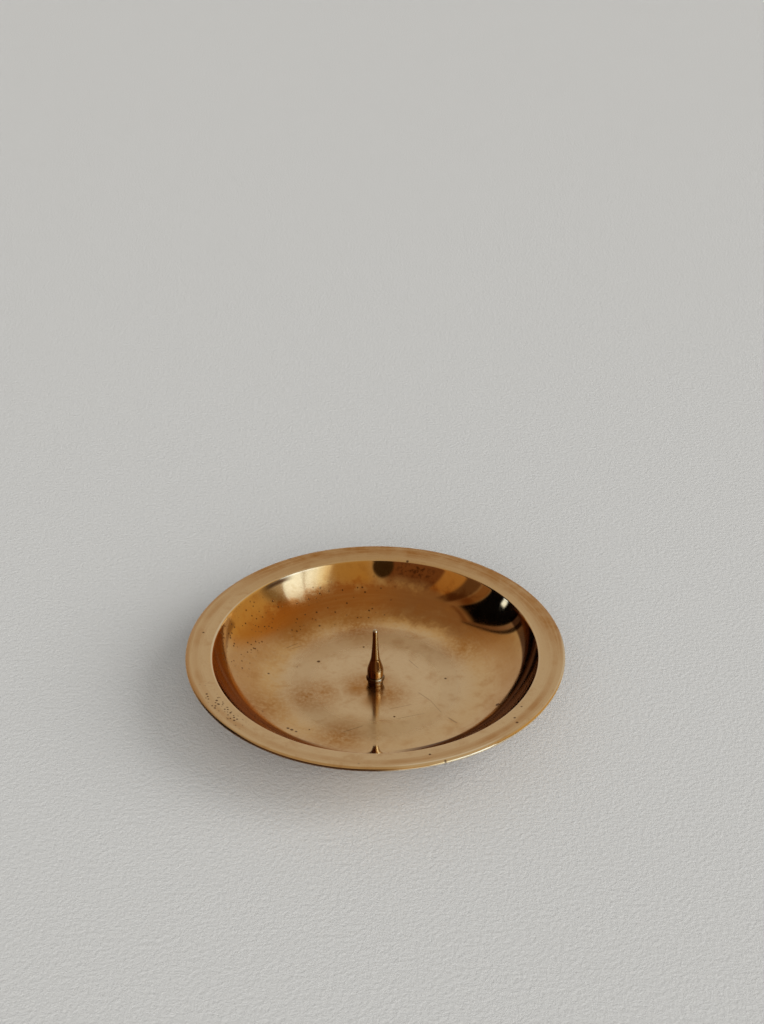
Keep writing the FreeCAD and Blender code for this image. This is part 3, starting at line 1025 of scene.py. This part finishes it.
def room_light():
    """The world: a plain soft light for matt surfaces, and the room's screens for polished ones."""
    world = bpy.data.worlds.new("studio_room")
    world.use_nodes = True
    bpy.context.scene.world = world
    root = Wire(world.node_tree)
    direction = root.node("ShaderNodeTexCoord", output=0)
    azimuth = root.math("ARCTAN2", part_of(direction, 0), part_of(direction, 1)) * math.degrees(1)
    height = root.math("ARCSINE", part_of(direction, 2)) * math.degrees(1)

    colour = ROOM_OVERHEAD
    for _, turn, rise, soft, shade in ROOM_SCREENS:
        offset = off_bearing(azimuth, sum(turn) / 2)
        half = (turn[1] - turn[0]) / 2
        mask = (1 - smooth(offset, half - soft[0], half + soft[0])) * band(height, *rise, soft[1])
        colour = blend_colour(mask, colour, shade)

    turn, rise, half_wide, half_high = DARK_SCREEN
    gap = length_of(off_bearing(azimuth, turn) / half_wide, (height - rise) / half_high)
    colour = blend_colour(1 - smooth(gap, *DARK_SCREEN_FADE), colour, DARK_SCREEN_SHADE)

    glossy = root.node("ShaderNodeLightPath", output="Is Glossy Ray")
    seen = root.node("ShaderNodeLightPath", output="Is Camera Ray")
    colour = blend_colour(seen, blend_colour(glossy, SOFT_LIGHT, colour), BACKDROP)
    background = world.node_tree.nodes["Background"]
    feed(background, "Color", colour)
    feed(background, "Strength", 1.0)


def hang_lamp(name, turn, rise, distance, radiance):
    """A flat soft lamp that fills these directions, as seen from the dish, with an even glow."""
    middle = math.radians(sum(turn) / 2)
    half = math.radians(turn[1] - turn[0]) / 2
    low = math.tan(math.radians(rise[0])) * distance
    high = math.tan(math.radians(rise[1])) * distance
    width = 2 * math.tan(half) * distance
    strength = max(radiance)
    clear_selection()
    bpy.ops.object.light_add(type="AREA")
    lamp = bpy.context.object
    lamp.name = name
    lamp.data.shape = "RECTANGLE"
    lamp.data.size = width
    lamp.data.size_y = high - low
    lamp.data.color = tuple(part / strength for part in radiance)
    lamp.data.energy = strength * width * (high - low) * math.pi
    lamp.location = (math.sin(middle) * distance, math.cos(middle) * distance, (low + high) / 2)
    lamp.rotation_euler = (math.radians(90), 0, math.pi - middle)
    return lamp


def add_lights():
    """The window's panes, which the brass reflects, and soft lamps that light only what is matt."""
    for name, turn, radiance in WINDOW_PANES:
        pane = hang_lamp(name, turn, WINDOW_RISE, WINDOW_DISTANCE, radiance)
        pane.visible_diffuse = False
        pane.rotation_euler.y = math.radians(WINDOW_ROLL_DEG)
    for name, turn, rise, radiance in LAMPS:
        lamp = hang_lamp(name, turn, rise, LAMP_DISTANCE, (radiance, radiance, radiance))
        lamp.visible_glossy = False


def add_camera():
    """The camera at the photograph's place."""
    clear_selection()
    bpy.ops.object.camera_add(location=CAMERA_PLACE, rotation=(math.radians(90 - CAMERA_PITCH_DEG), 0, 0))
    camera = bpy.context.object
    camera.data.sensor_width = SENSOR_WIDTH
    camera.data.lens = CAMERA_LENS
    camera.data.clip_end = CAMERA_REACH
    bpy.context.scene.camera = camera


def add_table(colours):
    """A large pale table under the dish."""
    clear_selection()
    bpy.ops.mesh.primitive_plane_add(size=TABLE_SIZE)
    table = bpy.context.object
    table.name = "table"
    table.data.materials.append(table_paint(colours))


class PRICKET_OT_stage(bpy.types.Operator):
    """Set up the table, the room's light, the window and the camera"""

    bl_idname = "pricket.stage"
    bl_label = "Set up the studio"

    def execute(self, context):
        context.scene.view_settings.view_transform = "Standard"
        add_table(context.scene.pricket_finish)
        room_light()
        add_lights()
        add_camera()
        return {"FINISHED"}


class PRICKET_OT_dish(bpy.types.Operator):
    """Turn the dish with its floor, well, brim and foot ring"""

    bl_idname = "pricket.dish"
    bl_label = "Turn the dish"

    def execute(self, context):
        piece = draw_dish(context.scene.pricket_dish)
        seat(piece, "dish", aged_brass(context.scene.pricket_finish))
        return {"FINISHED"}


class PRICKET_OT_spike(bpy.types.Operator):
    """Turn the candle spike"""

    bl_idname = "pricket.spike"
    bl_label = "Turn the candle spike"

    def execute(self, context):
        piece = draw_spike(context.scene.pricket_spike)
        seat(piece, "candle_spike", spike_metal(context.scene.pricket_finish))
        return {"FINISHED"}


class PRICKET_OT_fastening(bpy.types.Operator):
    """Finish the washer and nut under the floor"""

    bl_idname = "pricket.fastening"
    bl_label = "Finish the washer and nut"

    def execute(self, context):
        for node in ("washer", "hex_nut"):
            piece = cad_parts[node]
            piece.data.materials.clear()
            piece.data.materials.append(plain_brass(node + "_brass", context.scene.pricket_finish))
        return {"FINISHED"}


class PRICKET_PT_panel(bpy.types.Panel):
    """Lists the steps that make the pricket dish"""

    bl_idname = "PRICKET_PT_panel"
    bl_label = "Pricket dish"
    bl_space_type = "VIEW_3D"
    bl_region_type = "UI"
    bl_category = "Pricket dish"

    def draw(self, context):
        for step in STEPS:
            self.layout.operator(step.bl_idname)


STEPS = (PRICKET_OT_stage, PRICKET_OT_dish, PRICKET_OT_spike, PRICKET_OT_fastening)
CLASSES = (DishSizes, SpikeSizes, FinishColours, *STEPS, PRICKET_PT_panel)


def register():
    for kind in CLASSES:
        bpy.utils.register_class(kind)
    bpy.types.Scene.pricket_dish = bpy.props.PointerProperty(type=DishSizes)
    bpy.types.Scene.pricket_spike = bpy.props.PointerProperty(type=SpikeSizes)
    bpy.types.Scene.pricket_finish = bpy.props.PointerProperty(type=FinishColours)


def unregister():
    del bpy.types.Scene.pricket_finish
    del bpy.types.Scene.pricket_spike
    del bpy.types.Scene.pricket_dish
    for kind in reversed(CLASSES):
        bpy.utils.unregister_class(kind)


def main():
    register()
    bpy.ops.pricket.stage()
    bpy.ops.pricket.dish()
    bpy.ops.pricket.spike()
    bpy.ops.pricket.fastening()


if __name__ == "__main__":
    main()
